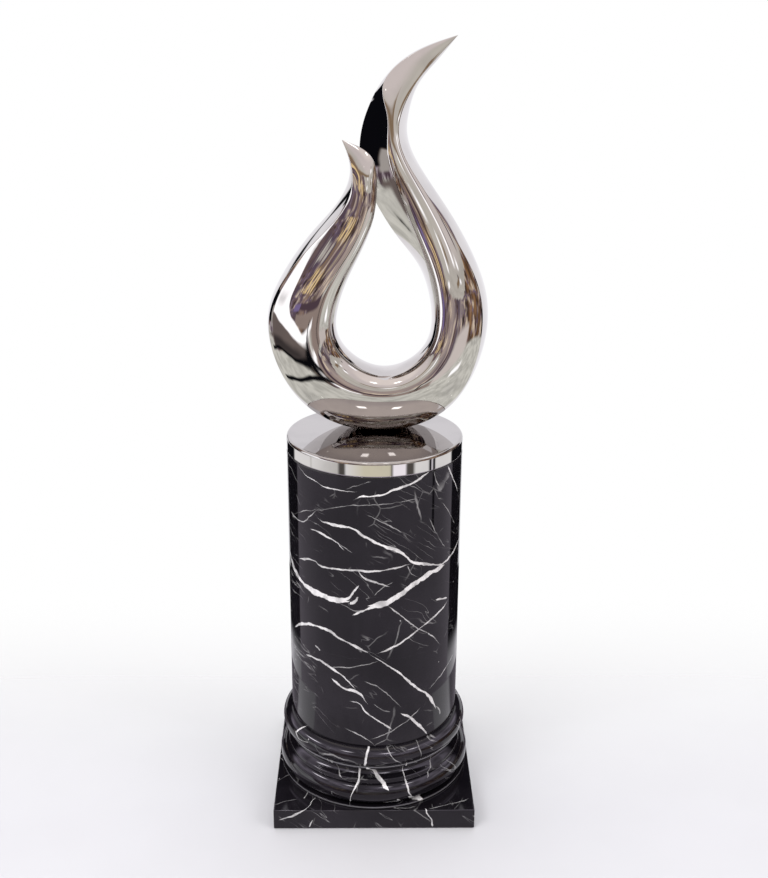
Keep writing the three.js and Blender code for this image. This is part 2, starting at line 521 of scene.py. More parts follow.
    def _web(self, kit: NodeKit, moved: Value) -> Value:
        """The faint web of hair veins, slanting threads and specks all through the stone.

        Args:
            kit: The material's nodes.
            moved: The point in the marble's own grain.

        Returns:
            How white the point is, from 0 to 1.
        """
        curl = kit.noise(moved, self.swirl_scale, detail=4.0, output="Color")
        curl = kit.vector("MULTIPLY", kit.vector("SUBTRACT", curl, (0.5, 0.5, 0.5)), (self.swirl,) * 3)
        bent = kit.vector("ADD", moved, curl)
        white = self._threads(kit, moved, bent).at_least(self._specks(kit, bent))
        for web in self.webs:
            edge = kit.cells(bent, web.scale, feature="DISTANCE_TO_EDGE")
            cover = kit.noise(moved, web.scale * self.web_cover_scale)
            shown = kit.rise(cover, web.cover, web.cover + self.web_fade)
            white = white.at_least(kit.rise(edge, web.core, web.edge, web.white, 0.0) * shown)
        return white

    def _threads(self, kit: NodeKit, moved: Value, bent: Value) -> Value:
        """Thin slanting threads.

        Args:
            kit: The material's nodes.
            moved: The point in the marble's own grain.
            bent: The same point, swirled.

        Returns:
            How white the point is, from 0 to 1.
        """
        slant = {"Vector": bent, "Rotation": self.thread_tilt, "Scale": self.thread_stretch}
        tilted = kit.node("Mapping", {"vector_type": "TEXTURE"}, slant)
        ridge = abs(kit.noise(tilted, self.thread_scale) - 0.5)
        shown = kit.rise(kit.noise(moved, self.thread_cover_scale), *self.thread_cover)
        return kit.rise(ridge, *self.thread_edge, self.thread_white, 0.0) * shown

    def _specks(self, kit: NodeKit, bent: Value) -> Value:
        """A few white specks, as a whiteness from 0 to 1."""
        specks = kit.rise(kit.cells(bent, self.speck_scale), *self.speck_edge, self.speck_white, 0.0)
        chosen, _, _ = kit.split(kit.cells(bent, self.speck_scale, output="Color"))
        return specks * kit.rise(chosen, *self.speck_choice)


@dataclass(frozen=True)
class PaleFloor:
    """Matt white floor that fades into the white of the studio, all round and behind the object."""

    name: str = "pale_floor"
    colour: Colour = (0.54, 0.55, 0.58)
    near: float = 0.9
    far: float = 2.4
    fade: Pair = (-0.25, 0.85)
    grain_scale: float = 5.0
    grain_range: Pair = (0.3, 0.7)
    grain_shade: float = 0.985
    roughness: float = 0.6
    gloss: float = 0.2

    def material(self) -> bpy.types.Material:
        """Build the finish.

        Returns:
            The finished material.
        """
        material, kit = new_material(self.name)
        place = kit.node("TexCoord", output="Object")
        depth = kit.split(place)[1]
        shown = kit.rise(kit.length(place), self.near, self.far, 1.0, 0.0)
        grain = kit.rise(kit.noise(place, self.grain_scale, detail=4.0), *self.grain_range)
        worn = tuple(self.grain_shade * part for part in self.colour)
        sockets = {
            "Base Color": kit.mix(grain, self.colour, worn),
            "Roughness": self.roughness,
            "Specular IOR Level": self.gloss,
            "Alpha": shown * kit.rise(depth, *self.fade, 1.0, 0.0),
        }
        kit.dress(sockets)
        return material


def close_body(bm: bmesh.types.BMesh) -> None:
    """Merge the seams and poles of a body and turn its faces outwards."""
    bmesh.ops.remove_doubles(bm, verts=bm.verts[:], dist=MERGE_DISTANCE)
    bmesh.ops.recalc_face_normals(bm, faces=bm.faces[:])


def spin_round(bm: bmesh.types.BMesh, profile: Sequence[Pair]) -> None:
    """Spin a profile of radii and heights, in metres, once round the upright axis."""
    chain = [bm.verts.new((radius, 0.0, height)) for radius, height in profile]
    edges = [bm.edges.new(ends) for ends in zip(chain, chain[1:])]
    bmesh.ops.spin(
        bm,
        geom=[*chain, *edges],
        cent=(0.0, 0.0, 0.0),
        axis=(0.0, 0.0, 1.0),
        angle=math.tau,
        steps=TURN_STEPS,
        use_merge=True,
        use_duplicate=False,
    )


def turn_profile(profile: Sequence[Pair]) -> bmesh.types.BMesh:
    """Turn a profile round the upright axis into a closed body.

    Args:
        profile: Radius and height in millimetres, from the axis at the bottom to the axis at the top.

    Returns:
        The body.
    """
    bm = bmesh.new()
    spin_round(bm, [(radius * MM, height * MM) for radius, height in profile])
    close_body(bm)
    return bm


def ease_edges(bm: bmesh.types.BMesh, size: float, segments: int, low: float, high: float) -> None:
    """Round the sharp edges of a body.

    Args:
        bm: The body.
        size: How far the rounding reaches from the edge, in millimetres.
        segments: Steps in the rounding.
        low: Lowest height of the edges that are rounded, in millimetres.
        high: Highest height of those edges.
    """
    sharp = [
        edge
        for edge in bm.edges
        if edge.calc_face_angle(0.0) > SHARP_ANGLE
        and all(low * MM <= vert.co.z <= high * MM for vert in edge.verts)
    ]
    bmesh.ops.bevel(
        bm,
        geom=sharp,
        offset=size * MM,
        offset_type="OFFSET",
        affect="EDGES",
        segments=segments,
        profile=0.5,
        material=-1,
        clamp_overlap=True,
    )
    close_body(bm)


def place_object(name: str, data: bpy.types.ID) -> bpy.types.Object:
    """Add data to the scene as a new object at the origin."""
    placed = bpy.data.objects.new(name, data)
    bpy.context.scene.collection.objects.link(placed)
    return placed


def make_object(bm: bmesh.types.BMesh, name: str, material: bpy.types.Material) -> bpy.types.Object:
    """Make a body an object with one finish.

    Args:
        bm: The body, which is freed.
        name: The object's name.
        material: Its finish.

    Returns:
        The object.
    """
    mesh = bpy.data.meshes.new(name)
    bm.to_mesh(mesh)
    bm.free()
    mesh.materials.append(material)
    return place_object(name, mesh)


def settle(bm: bmesh.types.BMesh, node: str, slot: Slot, material: bpy.types.Material) -> bpy.types.Object:
    """Make a body a finished piece that stands for a node of the frame.

    Args:
        bm: The body, which is freed.
        node: The node that it stands for.
        slot: The material slot whose name goes into the piece's name.
        material: Its finish.

    Returns:
        The piece.
    """
    for face in bm.faces:
        face.smooth = True
    piece = make_object(bm, f"{node}_{slot.name.lower()}", material)
    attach(piece, BODY)
    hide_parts(node)
    return piece


SLAB_VEINS = (
    Vein(((-120, 96), (-131, 72), (-141, 50), (-156, 39), (-176, 29), (-198, 21)), 3.0, 0.75),
    Vein(((-139, 110), (-147, 84)), 3.0, 0.60),
    Vein(((-126, 23), (-136, 3)), 2.6, 0.75),
    Vein(((106, 52), (111, 36), (120, 18), (121, 2)), 4.2, 0.85),
    Vein(((110, 48), (150, 62), (203, 82)), 2.0, 0.40),
    Vein(((20, 60), (60, 52), (95, 58)), 1.8, 0.22),
)


@dataclass
class PlinthSlab:
    """The square slab under the column."""

    node: str = "plinth_slab"
    edge: float = 2.0
    edge_steps: int = 4
    border: float = 1.0
    flats: int = 6
    grain: float = 3.7

    def build(self) -> bpy.types.Object:
        """Model and dress the slab.

        Returns:
            The slab.
        """
        low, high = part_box(self.node)
        bm = bmesh.new()
        bmesh.ops.create_cube(bm, size=1.0)
        bmesh.ops.scale(bm, vec=high - low, verts=bm.verts[:])
        bmesh.ops.translate(bm, vec=(low + high) / 2, verts=bm.verts[:])
        ease_edges(bm, self.edge, self.edge_steps, low.z / MM - EDGE_MARGIN, high.z / MM + EDGE_MARGIN)
        flats = sorted(bm.faces, key=lambda face: face.calc_area())[-self.flats :]
        bmesh.ops.inset_individual(bm, faces=flats, thickness=self.border * MM)
        half = (high.y - low.y) / 2 / MM
        marble = BlackMarble("plinth_marble", Chart.FLAT, half, SLAB_VEINS, self.grain)
        return settle(bm, self.node, Slot.MARBLE, marble.material())


BASE_VEINS = (
    Vein(((-3, 190), (-5, 157), (-6, 132)), 4.2, 0.95),
    Vein(((-52, 200), (-54, 182), (-58, 162)), 4.0, 0.85),
    Vein(((-60, 166), (-52, 158), (-44, 162)), 2.4, 0.60),
    Vein(((8, 181), (11, 162), (16, 145)), 2.4, 0.60),
    Vein(((29, 190), (29, 166), (30, 146)), 2.0, 0.35),
    Vein(((-10, 134), (-10, 102), (-13, 79), (-15, 46)), 4.2, 0.85),
    Vein(((-5, 133), (3, 106), (9, 84)), 9.0, 0.95),
    Vein(((22, 140), (20, 108), (21, 75), (24, 56), (30, 44)), 4.0, 0.80),
    Vein(((20, 66), (24, 56), (31, 46)), 9.0, 0.90),
    Vein(((-34, 142), (-28, 120), (-20, 98)), 2.4, 0.50),
    Vein(((4, 53), (10, 57), (17, 56)), 3.0, 0.60),
    Vein(((13, 64), (16, 56)), 4.0, 0.75),
    Vein(((48, 124), (40, 104), (34, 88)), 2.0, 0.40),
    Vein(((95, 188), (108, 150), (118, 120)), 3.0, 0.60),
    Vein(((150, 110), (160, 80), (164, 50)), 4.0, 0.70),
    Vein(((-110, 182), (-118, 140)), 2.6, 0.50),
    Vein(((-140, 120), (-128, 86), (-124, 52)), 5.0, 0.75),
)


@dataclass(frozen=True)
class Torus:
    """A round moulding: how far it reaches from the axis, its height and its foot."""

    reach: float
    height: float
    foot: float
    tuck: float = math.radians(75)
    steps: int = 28

    def outline(self) -> list[Pair]:
        """The moulding's profile.

        Returns:
            Radius and height in millimetres, from the foot up.
        """
        tube = self.height / 2 / math.sin(self.tuck)
        middle = self.foot + self.height / 2
        angles = [self.tuck * (2 * step / self.steps - 1) for step in range(self.steps + 1)]
        return [(self.reach - tube + tube * math.cos(a), middle + tube * math.sin(a)) for a in angles]


@dataclass
class BaseMoulding:
    """The turned base of the column: fillets, two round mouldings and the hollow between them."""

    node: str = "base_moulding"
    foot_fillet: Pair = (203.0, 5.0)
    lower_torus: Pair = (205.0, 47.0)
    middle_fillet: Pair = (187.0, 7.0)
    hollow_top: float = 183.0
    hollow_waist: float = 172.0
    hollow_height: float = 25.0
    hollow_steps: int = 16
    upper_fillet: Pair = (185.0, 6.0)
    upper_torus: Pair = (197.3, 44.0)
    edge: float = 0.8
    edge_steps: int = 3
    # Painted highlights: half-widths of the pale lines round the foot fillet and under the upper torus, and
    # how far under the torus the upper line lies.
    foot_rim_highlight: float = 1.6
    neck_rim_highlight: float = 1.2
    neck_drop: float = 1.5
    grain: float = 1.9

    def outline(self) -> list[Pair]:
        """The base's profile.

        Returns:
            Radius and height in millimetres, from the axis at the bottom to the axis at the top.
        """
        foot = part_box(self.node)[0].z / MM
        points = [(0.0, foot), (self.foot_fillet[0], foot)]
        level = foot + self.foot_fillet[1]
        points.append((self.foot_fillet[0], level))
        points += Torus(*self.lower_torus, level).outline()
        level += self.lower_torus[1] + self.middle_fillet[1]
        points.append((self.middle_fillet[0], level))
        points += self._hollow(level)
        level += self.hollow_height
        points.append((self.upper_fillet[0], level))
        level += self.upper_fillet[1]
        points.append((self.upper_fillet[0], level))
        points += Torus(*self.upper_torus, level).outline()
        points.append((0.0, level + self.upper_torus[1]))
        return points

    def _hollow(self, level: float) -> list[Pair]:
        """The profile of the hollow above a level, without its lowest point."""
        bottom = self.middle_fillet[0]
        sink = (bottom + self.hollow_top) / 2 - self.hollow_waist
        shares = [step / self.hollow_steps for step in range(1, self.hollow_steps + 1)]
        return [
            (
                bottom + (self.hollow_top - bottom) * share - sink * math.sin(math.pi * share),
                level + self.hollow_height * share,
            )
            for share in shares
        ]

    def build(self) -> bpy.types.Object:
        """Model and dress the base.

        Returns:
            The base.
        """
        low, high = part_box(self.node)
        bm = turn_profile(self.outline())
        ease_edges(bm, self.edge, self.edge_steps, low.z / MM + EDGE_MARGIN, high.z / MM - EDGE_MARGIN)
        # Painted highlights: a pale line round the foot fillet and one just under the upper torus.
        rim_highlights = (
            (low.z / MM + self.foot_fillet[1] / 2, self.foot_rim_highlight),
            (high.z / MM - self.upper_torus[1] - self.neck_drop, self.neck_rim_highlight),
        )
        reach = self.upper_torus[0]
        marble = BlackMarble("base_marble", Chart.ROUND, reach, BASE_VEINS, self.grain, rim_highlights=rim_highlights)
        return settle(bm, self.node, Slot.MARBLE, marble.material())


SHAFT_VEINS = (
    Vein(((-59, 772), (-54, 759), (-48, 751), (-42, 749), (-30, 741), (-18, 741), (-10, 742)), 2.8, 0.85),
    Vein(((-19, 744), (-10, 755), (-2, 765)), 2.0, 0.35),
    Vein(((-14, 720), (-9, 731), (2, 734), (12, 745), (24, 755), (37, 772)), 5.0, 1.0),
    Vein(((-69, 645), (-52, 674), (-36, 691), (-14, 713), (2, 716), (20, 720), (31, 722)), 2.2, 0.50),
    Vein(((-72, 652), (-60, 648), (-50, 656), (-44, 674), (-38, 690)), 3.0, 0.60),
    Vein(
        ((-40, 674), (-32, 666), (-18, 666), (-5, 647), (4, 632), (15, 616), (25, 588), (40, 570)),
        6.2,
        1.0,
    ),
    Vein(((25, 588), (40, 571), (49, 562), (54, 564), (66, 575), (79, 586)), 5.0, 0.95),
    Vein(((-46, 643), (-34, 640), (-25, 631), (-19, 614)), 4.0, 0.90),
    Vein(((-25, 631), (-19, 622), (-14, 612)), 2.2, 0.50),
    Vein(((-6, 697), (0, 687), (9, 671), (18, 653)), 2.2, 0.55),
    Vein(((39, 770), (42, 744), (45, 731)), 2.2, 0.60),
    Vein(((52, 772), (58, 744), (70, 695)), 4.0, 0.90),
    Vein(((46, 700), (52, 683), (57, 662), (66, 629)), 2.2, 0.55),
    Vein(((36, 675), (39, 657), (42, 640), (48, 612), (53, 593)), 2.2, 0.45),
    Vein(((32, 736), (28, 713), (27, 696)), 1.8, 0.30),
    Vein(
        ((-62, 560), (-42, 577), (-38, 571), (-25, 573), (-9, 576), (-1, 576), (11, 580), (26, 588)),
        4.0,
        0.85,
    ),
    Vein(((-12, 583), (-7, 562), (0, 553), (10, 541)), 3.4, 0.80),
    Vein(((-80, 560), (-66, 529), (-54, 514), (-41, 508), (-30, 505), (-18, 507), (-15, 510)), 13.0, 1.0),
    Vein(((-24, 507), (-17, 514), (-14, 528), (-10, 546)), 6.0, 0.95),
    Vein(((-16, 504), (-13, 507), (-10, 519)), 5.0, 0.85),
    Vein(((-15, 476), (-9, 487), (-2, 497), (8, 504), (14, 512)), 5.0, 0.95),
    Vein(((-5, 500), (7, 507), (19, 527), (31, 547), (40, 555), (53, 557)), 11.0, 1.0),
    Vein(((-30, 506), (-19, 496), (-12, 488), (-5, 494)), 2.0, 0.40),
    Vein(((-81, 502), (-63, 497), (-54, 503)), 2.2, 0.40),
    Vein(((21, 584), (23, 566), (29, 552)), 2.4, 0.55),
    Vein(((43, 489), (50, 484), (57, 478)), 4.4, 0.85),
    Vein(((-1, 522), (6, 543), (12, 552)), 2.2, 0.45),
    Vein(((-70, 390), (-58, 416), (-47, 430), (-34, 434), (-23, 422), (-12, 408), (-2, 393)), 6.0, 1.0),
    Vein(((-4, 396), (7, 370), (18, 341), (29, 302), (38, 277), (47, 230)), 5.4, 0.95),
    Vein(((60, 474), (45, 455), (30, 437), (15, 411), (0, 392)), 4.2, 0.90),
    Vein(((4, 380), (-4, 371), (-15, 361), (-31, 350)), 2.4, 0.45),
    Vein(((8, 502), (18, 472), (30, 437), (41, 410), (50, 378)), 3.2, 0.75),
    Vein(((22, 424), (31, 402), (39, 390)), 2.0, 0.45),
    Vein(((-53, 354), (-44, 358), (-38, 357), (-27, 346), (-21, 337), (-12, 311)), 5.4, 0.95),
    Vein(((-30, 326), (-20, 310), (-11, 305), (-4, 275)), 4.6, 0.90),
    Vein(((-17, 281), (-11, 280), (-5, 258), (4, 237), (12, 215)), 3.6, 0.85),
    Vein(((17, 254), (24, 238), (31, 213), (39, 181)), 4.6, 0.95),
    Vein(((72, 331), (62, 322), (51, 307), (38, 287)), 2.6, 0.55),
    Vein(((-4, 193), (15, 218), (33, 253)), 2.4, 0.50),
    Vein(((-21, 218), (-4, 194), (1, 177)), 3.0, 0.60),
    Vein(((-7, 332), (4, 314), (12, 288), (19, 263)), 2.2, 0.40),
    Vein(((-1, 279), (6, 264), (11, 257)), 2.2, 0.40),
    Vein(((46, 240), (50, 226), (51, 212)), 3.4, 0.50),
    Vein(((-43, 386), (-38, 381)), 3.0, 0.55),
    Vein(((84, 600), (108, 640), (130, 652), (158, 700)), 5.0, 0.85),
    Vein(((96, 520), (118, 478), (141, 470), (170, 420)), 9.0, 0.95),
    Vein(((82, 380), (104, 330), (132, 318), (165, 260)), 4.0, 0.80),
    Vein(((112, 330), (128, 362), (150, 372), (174, 410)), 3.0, 0.60),
    Vein(((-84, 700), (-108, 655), (-131, 640), (-168, 575)), 4.6, 0.85),
    Vein(((-92, 470), (-118, 440), (-146, 452), (-172, 480)), 7.5, 0.95),
    Vein(((-88, 290), (-112, 330), (-140, 322), (-174, 372)), 3.6, 0.75),
    Vein(((-104, 250), (-126, 226), (-160, 232)), 3.0, 0.55),
    Vein(((150, 745), (168, 690), (172, 640)), 2.6, 0.50),
    Vein(((-150, 740), (-138, 700), (-142, 660)), 2.6, 0.50),
)


@dataclass
class ColumnShaft:
    """The plain round shaft of the column."""

    node: str = "column_shaft"
    edge: float = 1.5
    edge_steps: int = 4
    border: float = 1.2
    rings: int = 20

    def build(self) -> bpy.types.Object:
        """Model and dress the shaft.

        Returns:
            The shaft.
        """
        low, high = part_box(self.node)
        radius = high.x / MM
        foot, top = low.z / MM, high.z / MM
        inset = self.edge + self.border
        plain = top - foot - 2 * inset
        levels = [foot + inset + plain * ring / self.rings for ring in range(self.rings + 1)]
        wall = [(radius, level) for level in (foot, *levels, top)]
        bm = turn_profile([(0.0, foot), (radius - inset, foot), *wall, (radius - inset, top), (0.0, top)])
        ease_edges(bm, self.edge, self.edge_steps, foot - EDGE_MARGIN, top + EDGE_MARGIN)
        marble = BlackMarble("shaft_marble", Chart.ROUND, radius, SHAFT_VEINS)
        return settle(bm, self.node, Slot.MARBLE, marble.material())


@dataclass
class CapDisc:
    """The mirror-polished disc that caps the column and carries the flame."""

    node: str = "cap_disc"
    rim: float = 6.0
    rim_steps: int = 10
    under_edge: float = 1.5
    under_steps: int = 4
    border: float = 0.8
    # Painted shade: the disc's steel is a fifth darker than the flame's same steel, so that the white it
    # mirrors stays greyer than the white backdrop.
    bright: Colour = (0.535, 0.515, 0.508)
    shade: Colour = (0.485, 0.467, 0.463)
    ripple: float = 0.10
    tool_mark: float = 0.02

    def build(self) -> bpy.types.Object:
        """Model and dress the disc.

        Returns:
            The disc.
        """
        low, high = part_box(self.node)
        radius = high.x / MM
        foot, top = low.z / MM, high.z / MM
        profile = [
            (0.0, foot),
            (radius - self.under_edge - self.border, foot),
            (radius, foot),
            (radius, foot + self.under_edge + self.border),
            (radius, top - self.rim - self.border),
            (radius, top),
            (radius - self.rim - self.border, top),
            (0.0, top),
        ]
        bm = turn_profile(profile)
        ease_edges(bm, self.rim, self.rim_steps, top - EDGE_MARGIN, top + EDGE_MARGIN)
        ease_edges(bm, self.under_edge, self.under_steps, foot - EDGE_MARGIN, foot + EDGE_MARGIN)
        # A darker copy of the flame's steel: painted shade.
        steel = MirrorSteel(
            "disc_steel_painted_shade", self.bright, self.shade, ripple=self.ripple, tool_mark=self.tool_mark
        )
        return settle(bm, self.node, Slot.STEEL, steel.material())


class NaturalSpline:
    """A natural cubic spline through values at rising knots."""

    def __init__(self, knots: Sequence[float], values: Sequence[float]) -> None:
        """Work out the bending at each knot.

        Args:
            knots: Rising places along the curve.
            values: The value at each knot.
        """
        self.knots = list(knots)
        self.values = list(values)
        count = len(self.knots)
        steps = [after - before for before, after in zip(self.knots, self.knots[1:])]
        slopes = [(after - before) / step for before, after, step in zip(self.values, self.values[1:], steps)]
        upper = [0.0] * count
        right = [0.0] * count
        for i in range(1, count - 1):
            pivot = 2 * (steps[i - 1] + steps[i]) - steps[i - 1] * upper[i - 1]
            upper[i] = steps[i] / pivot
            right[i] = (6 * (slopes[i] - slopes[i - 1]) - steps[i - 1] * right[i - 1]) / pivot
        self.bends = [0.0] * count
        for i in range(count - 2, 0, -1):
            self.bends[i] = right[i] - upper[i] * self.bends[i + 1]

    def at(self, place: float) -> float:
        """The value at a place along the curve.

        Args:
            place: A place between the first knot and the last.

        Returns:
            The value there.
        """
        last = len(self.knots) - 2
        i = max(0, min(last, sum(1 for knot in self.knots[1:-1] if knot <= place)))
        step = self.knots[i + 1] - self.knots[i]
        after = (place - self.knots[i]) / step
        before = 1 - after
        sag = (before**3 - before) * self.bends[i] + (after**3 - after) * self.bends[i + 1]
        return before * self.values[i] + after * self.values[i + 1] + sag * step * step / 6


class Side(Enum):
    """The faces of a cut across the flame, in the order that they follow each other."""

    FRONT = "front"
    OUTER = "outer wall"
    BACK = "back"
    INNER = "inner wall"


SIDE_STEPS = {Side.FRONT: 44, Side.OUTER: 14, Side.BACK: 14, Side.INNER: 16}
CORNER_STEPS = 4
# How strongly a face's steps crowd towards its ends, and how much of a face an eased corner may take.
CROWDING = 0.85
EASE_LIMIT = 0.12
BACK_CROWN = 0.05
RING_CENTRE = (2.0, 212.5)
HOLE_CENTRE = (19.0, 232.0)
HOLE_RADIUS = 95.0
RING_DEPTH = 80.0
RING_FRONT = -5.0
NO_LENGTH = 1e-3
NO_WIDTH = 1e-6


@dataclass(frozen=True)
class Cut:
    """A cut across the flame, in millimetres over the foot and degrees.

    outer and inner are the front edges, seen from the front. spread is how far each wall leans out on its
    way back, belly how far it bulges, and rise how steeply the front face leaves each edge. roll is how
    widely the front rolls over at the inner edge.
    """

    outer: Pair
    inner: Pair
    spread: Pair
    belly: Pair
    rise: Pair
    depth: float
    front: float
    roll: float = 1.0

    def measures(self) -> tuple[float, ...]:
        """All the cut's numbers in a row."""
        pairs = (self.outer, self.inner, self.spread, self.belly, self.rise)
        return (*(number for pair in pairs for number in pair), self.depth, self.front, self.roll)

    @staticmethod
    def from_measures(row: Sequence[float]) -> "Cut":
        """A cut from all its numbers in a row."""
        pairs = [(row[i], row[i + 1]) for i in range(0, 10, 2)]
        return Cut(*pairs, *row[10:])

    @property
    def width(self) -> float:
        """Distance between the two front edges."""
        return math.dist(self.outer, self.inner)

    def spot(self, side: Side, share: float) -> Pair:
        """A point of the cut's outline.

        Args:
            side: The face that it lies on.
            share: How far along that face, from 0 to 1.

        Returns:
            Millimetres across from the inner edge, and millimetres back.
        """
        width = self.width
        bulge = 4 * share * (1 - share)
        out, inn = self.spread
        if side is Side.FRONT:
            rises = [math.radians(angle) for angle in self.rise]
            near = 3 * share * (1 - share) ** 2 * self.roll / (3 * math.cos(rises[1] / 2) ** 2)
            far_reach = 1 / (3 * math.cos(rises[0] / 2) ** 2)
            far = 3 * share**2 * (1 - share)
            across = near * math.cos(rises[1]) + far * (1 - far_reach * math.cos(rises[0])) + share**3
            bow = near * math.sin(rises[1]) + far * far_reach * math.sin(rises[0])
            return width * across, self.front - width * bow
        if side is Side.OUTER:
            return width + out * share + self.belly[0] * bulge, self.front + self.depth * share
        if side is Side.BACK:
            full = width + out + inn
            return width + out - full * share, self.front + self.depth + BACK_CROWN * full * bulge
        back = 1 - share
        return -(inn * back + self.belly[1] * bulge), self.front + self.depth * back

    def outline(self, ease: float) -> list[Pair]:
        """The closed outline with eased corners.

        Args:
            ease: How far from each corner the easing starts, in millimetres.

        Returns:
            Points across and back, with the first repeated at the end.
        """
        stretches = []
        for side in Side:
            length = max(math.dist(self.spot(side, 0.0), self.spot(side, 1.0)), NO_LENGTH)
            trim = min(ease / length, EASE_LIMIT)
            shares = [self._crowded(step / SIDE_STEPS[side]) for step in range(SIDE_STEPS[side] + 1)]
            stretches.append([self.spot(side, trim + (1 - 2 * trim) * share) for share in shares])
        points = []
        for number, side in enumerate(Side):
            points += stretches[number]
            start, end = stretches[number][-1], stretches[(number + 1) % len(stretches)][0]
            points += self._corner(start, self.spot(side, 1.0), end)
        return [*points, points[0]]

    @staticmethod
    def _crowded(share: float) -> float:
        """A share of the way, with steps that crowd towards both ends."""
        return share - CROWDING * math.sin(math.tau * share) / math.tau

    @staticmethod
    def _corner(start: Pair, corner: Pair, end: Pair) -> list[Pair]:
        """The points between the two ends of an eased corner."""
        shares = [step / CORNER_STEPS for step in range(1, CORNER_STEPS)]
        return [
            tuple((1 - t) ** 2 * s + 2 * t * (1 - t) * c + t * t * e for s, c, e in zip(start, corner, end))
            for t in shares
        ]


def ring_cut(degrees: float, reach: float, spread: Pair, belly: Pair, rise: Pair, roll: float = 1.0) -> Cut:
    """A cut of the ring part of the flame, where the hole's edge is an arc.

    Args:
        degrees: The cut's direction from the ring's centre, anticlockwise from the right.
        reach: Distance of the outer edge from the ring's centre.
        spread: How far each wall leans out.
        belly: How far each wall bulges.
        rise: How steeply the front leaves each edge.
        roll: How widely the front rolls over at the inner edge.

    Returns:
        The cut.
    """
    angle = math.radians(degrees)
    ray = (math.cos(angle), math.sin(angle))
    outer = (RING_CENTRE[0] + reach * ray[0], RING_CENTRE[1] + reach * ray[1])
    inner = (HOLE_CENTRE[0] + HOLE_RADIUS * ray[0], HOLE_CENTRE[1] + HOLE_RADIUS * ray[1])
    return Cut(outer, inner, spread, belly, rise, RING_DEPTH, RING_FRONT, roll)


FLAME_CUTS = (
    Cut((-63, 574), (-63, 574), (0, 0), (0, 0), (10, 12), 0, 6),
    Cut((-47, 534), (-9, 546), (2, -2), (1, 1), (16, 28), 22, -14),
    Cut((-44, 496), (2, 498), (8, -3), (2, 2), (34, 68), 44, -25),
    Cut((-63, 445), (-3, 436), (15, -4), (3, 2), (38, 84), 66, -24),
    Cut((-113, 389), (-24, 376), (13, -6), (3, 3), (47, 90), 78, -15),
    Cut((-179, 308), (-55, 310), (5, -8), (3, 3), (58, 90), RING_DEPTH, -8),
    ring_cut(180, 210, (4, -10), (3, 3), (60, 90)),
    ring_cut(225, 208, (5, -22), (3, 6), (62, 90)),
    ring_cut(270, 207, (8, -32), (3, 8), (62, 90), 1.25),
    ring_cut(315, 215, (14, -22), (3, 6), (62, 90), 1.1),
    ring_cut(360, 208, (19, -1), (3, 2), (60, 86)),
    Cut((193, 318), (106, 312), (15, 12), (3, 2), (55, 68), RING_DEPTH, 1),
    Cut((137, 413), (81, 390), (18, 36), (3, 2), (42, 42), 66, 20),
    Cut((84, 492), (46, 474), (16, 54), (3, 2), (35, 32), 76, 41),
    Cut((50, 553), (24, 549), (18, 56), (3, 2), (28, 26), 86, 60),
    Cut((47, 606), (23, 612), (18, 39), (2, 2), (20, 20), 76, 80),
    Cut((71, 661), (14, 665), (9, 7), (2, 1), (14, 14), 40, 101),
    Cut((109, 708), (63, 720), (6, 1), (1, 1), (10, 10), 22, 121),
    Cut((159, 759), (159, 759), (0, 0), (0, 0), (8, 8), 0, 141),
)


@dataclass
class Flame:
    """The flame: one band of steel that sweeps from the left tongue round the ring to the tall tongue."""

    node: str = "flame"
    cuts: tuple[Cut, ...] = FLAME_CUTS
    steps: int = 420
    edge: float = 1.1

    def build(self) -> bpy.types.Object:
        """Model and dress the flame.

        Returns:
            The flame.
        """
        middles = [[(o + i) / 2 for o, i in zip(cut.outer, cut.inner)] for cut in self.cuts]
        knots = [0.0]
        for before, after in zip(middles, middles[1:]):
            knots.append(knots[-1] + math.dist(before, after))
        knots = [knot / knots[-1] for knot in knots]
        rows = [cut.measures() for cut in self.cuts]
        splines = [NaturalSpline(knots, measure) for measure in zip(*rows)]
        around = sum(SIDE_STEPS.values()) + len(Side) * CORNER_STEPS
        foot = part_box(CapDisc.node)[1].z
        half = 0.5
        bm = bmesh.new()
        bmesh.ops.create_grid(bm, x_segments=self.steps, y_segments=around, size=half)
        sections = {}
        for vert in bm.verts:
            step = round((vert.co.x + half) * self.steps)
            if step not in sections:
                cut = Cut.from_measures([spline.at(step / self.steps) for spline in splines])
                sections[step] = self._section(cut, foot)
            vert.co = sections[step][round((vert.co.y + half) * around)]
        close_body(bm)
        return settle(bm, self.node, Slot.STEEL, MirrorSteel("flame_steel").material())

    def _section(self, cut: Cut, foot: float) -> list[Vector]:
        """The points of a cut in the part's frame, with the foot cut flat on the disc.

        Args:
            cut: The cut.
            foot: Height of the disc's top, in metres.

        Returns:
            The points, in metres.
        """
        width = max(cut.width, NO_WIDTH)
        run = [(o - i) / width for o, i in zip(cut.outer, cut.inner)]
        points = []
        for across, back in cut.outline(self.edge):
            height = max(0.0, cut.inner[1] + run[1] * across)
            points.append(Vector(((cut.inner[0] + run[0] * across) * MM, back * MM, foot + height * MM)))
        return points


@dataclass(frozen=True)
class SoftLight:
    """A soft square light that shines on the middle of the object and shows in no reflection."""

    name: str
    place: Place
    side: float
    watts: float

    def build(self, aim: Vector) -> None:
        """Hang the light and turn it to a point."""
        lamp = bpy.data.lights.new(self.name, "AREA")
        lamp.size = self.side
        lamp.energy = self.watts
        holder = place_object(self.name, lamp)
        holder.location = self.place
        holder.rotation_euler = (aim - Vector(self.place)).to_track_quat("-Z", "Y").to_euler()
        holder.visible_glossy = False


